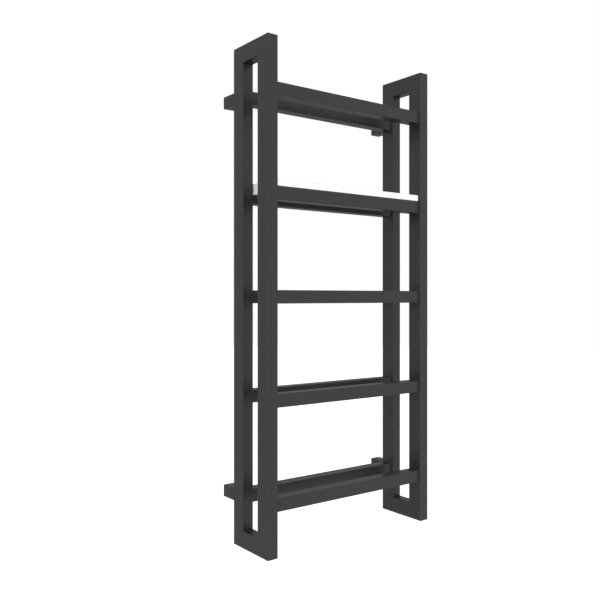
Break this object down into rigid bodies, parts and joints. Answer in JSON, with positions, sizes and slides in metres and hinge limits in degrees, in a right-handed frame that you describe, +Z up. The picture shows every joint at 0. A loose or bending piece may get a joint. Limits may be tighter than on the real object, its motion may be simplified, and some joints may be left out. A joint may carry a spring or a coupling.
{
  "type": "towel warmer rack",
  "caption": "Wall-mounted hot-water towel rail: slotted rectangular side frames joined by front and rear square bars, held off the wall by stubs, with a lift-off shelf.",
  "frame": {"origin": "centre of the four wall fixings, on the wall face of the stand-offs", "axes": "+Z up along the side frames, +Y into the wall, +X to the right of a person facing the wall"},
  "size_m": [0.5, 0.185, 1.15],
  "materials": {
    "powder_coated_steel": "matt anthracite powder coat with a very fine grain",
    "raw_aluminium": "sawn and milled",
    "black_steel": "black oxide",
    "nickel": "satin nickel plate",
    "brass": "turned",
    "seal_rubber": "matt",
    "white_lacquer": "white satin lacquer on moisture-proof board",
    "zinc_plate": "bright zinc",
    "buffer_rubber": "translucent"
  },
  "bodies": {
    "rail": {"left_front_upright": "powder_coated_steel", "left_rear_upright": "powder_coated_steel", "left_top_crosspiece": "powder_coated_steel", "left_bottom_crosspiece": "powder_coated_steel", "right_front_upright": "powder_coated_steel", "right_rear_upright": "powder_coated_steel", "right_top_crosspiece": "powder_coated_steel", "right_bottom_crosspiece": "powder_coated_steel", "front_bar_1": "powder_coated_steel", "front_bar_2": "powder_coated_steel", "front_bar_3": "powder_coated_steel", "front_bar_4": "powder_coated_steel", "front_bar_5": "powder_coated_steel", "rear_bar_1": "powder_coated_steel", "rear_bar_2": "powder_coated_steel", "rear_bar_3": "powder_coated_steel", "rear_bar_4": "powder_coated_steel", "rear_bar_5": "powder_coated_steel", "upper_left_standoff": "powder_coated_steel", "upper_right_standoff": "powder_coated_steel", "lower_left_standoff": "powder_coated_steel", "lower_right_standoff": "powder_coated_steel", "upper_left_wall_core": "raw_aluminium", "upper_right_wall_core": "raw_aluminium", "lower_left_wall_core": "raw_aluminium", "lower_right_wall_core": "raw_aluminium", "locking_screws": "black_steel", "left_top_socket": "powder_coated_steel", "right_top_socket": "powder_coated_steel", "left_bottom_socket": "powder_coated_steel", "right_bottom_socket": "powder_coated_steel", "air_vent": "nickel", "blanking_plug": "nickel", "plug_seals": "seal_rubber"},
    "bleed_spindle": {"bleed_spindle": "brass"},
    "shelf": {"shelf_board": "white_lacquer", "shelf_batten": "white_lacquer", "batten_screws": "zinc_plate", "shelf_buffers": "buffer_rubber"}
  },
  "joints": [
    {"name": "shelf_lift", "type": "slide", "parent": "rail", "child": "shelf", "axis": [0, 0, 1], "range_m": [0, 0.18]},
    {"name": "bleed_turn", "type": "hinge", "parent": "rail", "child": "bleed_spindle", "pos_m": [0.236, -0.115, 0.565], "axis": [0, 0, 1], "range_deg": [0, 270]}
  ]
}
